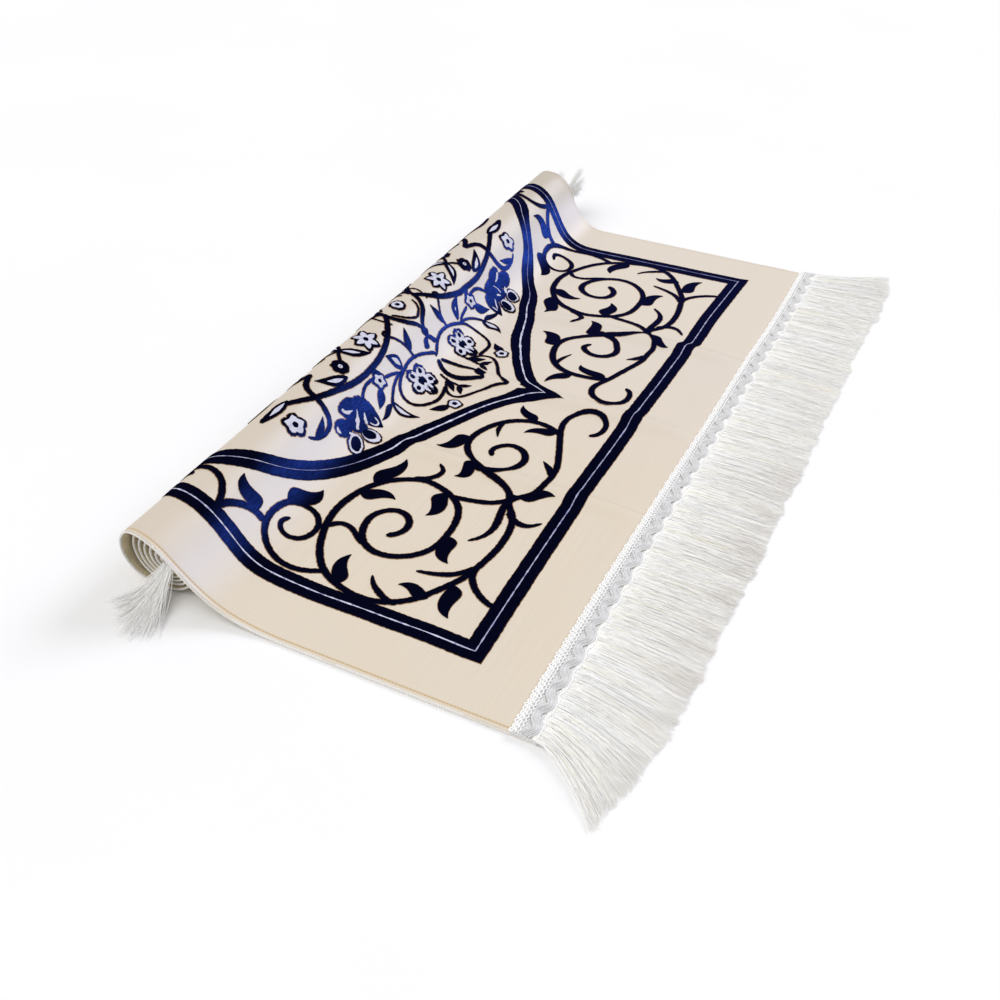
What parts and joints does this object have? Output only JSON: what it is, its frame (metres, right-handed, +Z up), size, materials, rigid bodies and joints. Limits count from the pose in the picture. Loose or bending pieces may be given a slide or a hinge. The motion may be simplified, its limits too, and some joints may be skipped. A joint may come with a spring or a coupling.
{
  "type": "prayer rug",
  "caption": "Thin satin prayer rug with dark blue pile ornament, half unrolled, with a loose roll at one end and a strand fringe on both ends.",
  "frame": {"origin": "on the floor, under the middle of the whole thing's box", "axes": "+X from the roll towards the open end's fringe, +Y along the roll from its near end to its far end, +Z up"},
  "size_m": [0.4036, 0.781, 0.0578],
  "materials": {
    "satin": "cream satin weave with dark blue raised pile ornament",
    "fringe_yarn": "off-white glossy yarn",
    "silver_braid": "silver-grey braided yarn"
  },
  "bodies": {
    "root": {"rug_cloth": "satin", "end_fringe": "fringe_yarn", "header_braid": "silver_braid", "inner_fringe": "fringe_yarn"}
  },
  "joints": []
}
